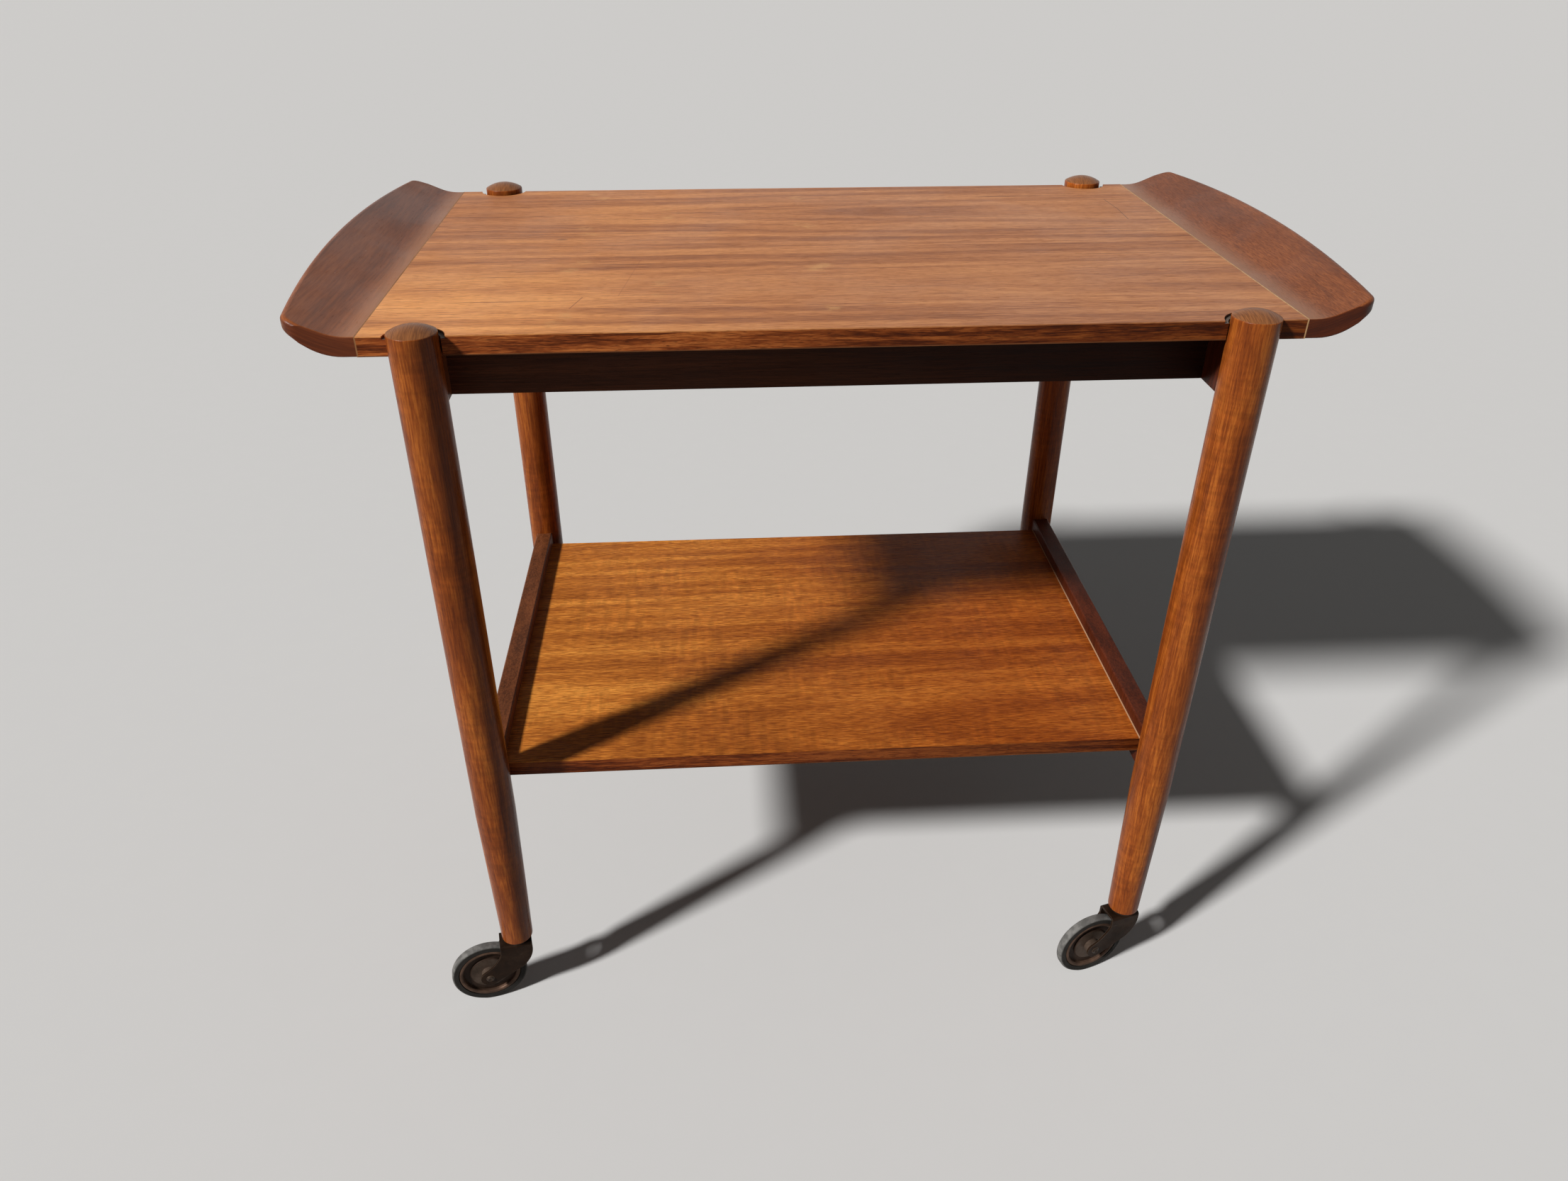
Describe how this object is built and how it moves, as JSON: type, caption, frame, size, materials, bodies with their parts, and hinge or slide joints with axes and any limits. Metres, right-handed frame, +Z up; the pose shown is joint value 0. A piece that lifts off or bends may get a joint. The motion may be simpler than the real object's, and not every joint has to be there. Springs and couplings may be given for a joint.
{
  "type": "serving trolley",
  "caption": "Wooden bar cart with a veneered top between swept-up handle boards, round legs set in notches, a lower shelf between side rails, and swivel casters.",
  "frame": {"origin": "on the floor, under the middle of the top", "axes": "+X along the length of the top, +Y from the front to the rear, +Z up"},
  "size_m": [0.7716, 0.464, 0.6665],
  "materials": {
    "top_veneer": "oiled teak veneer, straight grain along the length, satin",
    "shelf_veneer": "oiled teak veneer, straight grain with fine cross mottle, satin",
    "backing_veneer": "plain sanded balancing veneer",
    "board_core": "raw particle board",
    "lipping": "solid teak, dark flecks, satin",
    "inlay": "pale stringing line",
    "handle_wood": "solid teak, darker, satin with light wear",
    "leg_wood": "turned solid teak, glossy varnish",
    "rail_wood": "solid teak, dark, satin",
    "dowel_wood": "plain beech",
    "screw_steel": "plain steel",
    "caster_steel": "darkened steel",
    "fork_bronze": "bronzed pressed steel, bright along the worn edges",
    "axle_brass": "aged brass rivet",
    "wheel_bronze": "bronzed pressed wheel, dull",
    "tyre_rubber": "grey rubber, paler and dusty on the tread"
  },
  "bodies": {
    "cart": {"top_core": "board_core", "shelf_core": "board_core", "top_veneer": "top_veneer", "top_backing_veneer": "backing_veneer", "shelf_veneer": "shelf_veneer", "shelf_backing_veneer": "backing_veneer", "top_front_lipping": "lipping", "top_rear_lipping": "lipping", "shelf_front_lipping": "lipping", "shelf_rear_lipping": "lipping", "left_inlay": "inlay", "right_inlay": "inlay", "left_handle": "handle_wood", "right_handle": "handle_wood", "upper_left_rail": "rail_wood", "upper_right_rail": "rail_wood", "lower_left_rail": "rail_wood", "lower_right_rail": "rail_wood", "upper_front_rail": "rail_wood", "upper_rear_rail": "rail_wood", "handle_dowels": "dowel_wood", "upper_leg_dowels": "dowel_wood", "lower_leg_dowels": "dowel_wood", "long_rail_dowels": "dowel_wood", "shelf_dowels": "dowel_wood", "top_screws": "screw_steel", "front_left_leg": "leg_wood", "rear_left_leg": "leg_wood", "front_right_leg": "leg_wood", "rear_right_leg": "leg_wood", "front_left_socket": "caster_steel", "rear_left_socket": "caster_steel", "front_right_socket": "caster_steel", "rear_right_socket": "caster_steel"},
    "front_left_caster": {"front_left_washer": "caster_steel", "front_left_stem": "caster_steel", "front_left_fork": "fork_bronze", "front_left_axle": "axle_brass"},
    "front_left_wheel": {"front_left_wheel_centre": "wheel_bronze", "front_left_tyre": "tyre_rubber"},
    "rear_left_caster": {"rear_left_washer": "caster_steel", "rear_left_stem": "caster_steel", "rear_left_fork": "fork_bronze", "rear_left_axle": "axle_brass"},
    "rear_left_wheel": {"rear_left_wheel_centre": "wheel_bronze", "rear_left_tyre": "tyre_rubber"},
    "front_right_caster": {"front_right_washer": "caster_steel", "front_right_stem": "caster_steel", "front_right_fork": "fork_bronze", "front_right_axle": "axle_brass"},
    "front_right_wheel": {"front_right_wheel_centre": "wheel_bronze", "front_right_tyre": "tyre_rubber"},
    "rear_right_caster": {"rear_right_washer": "caster_steel", "rear_right_stem": "caster_steel", "rear_right_fork": "fork_bronze", "rear_right_axle": "axle_brass"},
    "rear_right_wheel": {"rear_right_wheel_centre": "wheel_bronze", "rear_right_tyre": "tyre_rubber"}
  },
  "joints": [
    {"name": "front_left_swivel", "type": "hinge", "parent": "cart", "child": "front_left_caster", "pos_m": [-0.2866, -0.2107, 0.073], "axis": [0, 0, 1], "continuous": true},
    {"name": "front_left_wheel_spin", "type": "hinge", "parent": "front_left_caster", "child": "front_left_wheel", "pos_m": [-0.31624, -0.217, 0.03425], "axis": [-0.2079, 0.9781, 0], "continuous": true},
    {"name": "rear_left_swivel", "type": "hinge", "parent": "cart", "child": "rear_left_caster", "pos_m": [-0.2866, 0.2107, 0.073], "axis": [0, 0, 1], "continuous": true},
    {"name": "rear_left_wheel_spin", "type": "hinge", "parent": "rear_left_caster", "child": "rear_left_wheel", "pos_m": [-0.31624, 0.217, 0.03425], "axis": [0.2079, 0.9781, 0], "continuous": true},
    {"name": "front_right_swivel", "type": "hinge", "parent": "cart", "child": "front_right_caster", "pos_m": [0.2866, -0.2107, 0.073], "axis": [0, 0, 1], "continuous": true},
    {"name": "front_right_wheel_spin", "type": "hinge", "parent": "front_right_caster", "child": "front_right_wheel", "pos_m": [0.25747, -0.21905, 0.03425], "axis": [-0.2756, 0.9613, 0], "continuous": true},
    {"name": "rear_right_swivel", "type": "hinge", "parent": "cart", "child": "rear_right_caster", "pos_m": [0.2866, 0.2107, 0.073], "axis": [0, 0, 1], "continuous": true},
    {"name": "rear_right_wheel_spin", "type": "hinge", "parent": "rear_right_caster", "child": "rear_right_wheel", "pos_m": [0.25747, 0.21905, 0.03425], "axis": [0.2756, 0.9613, 0], "continuous": true}
  ]
}
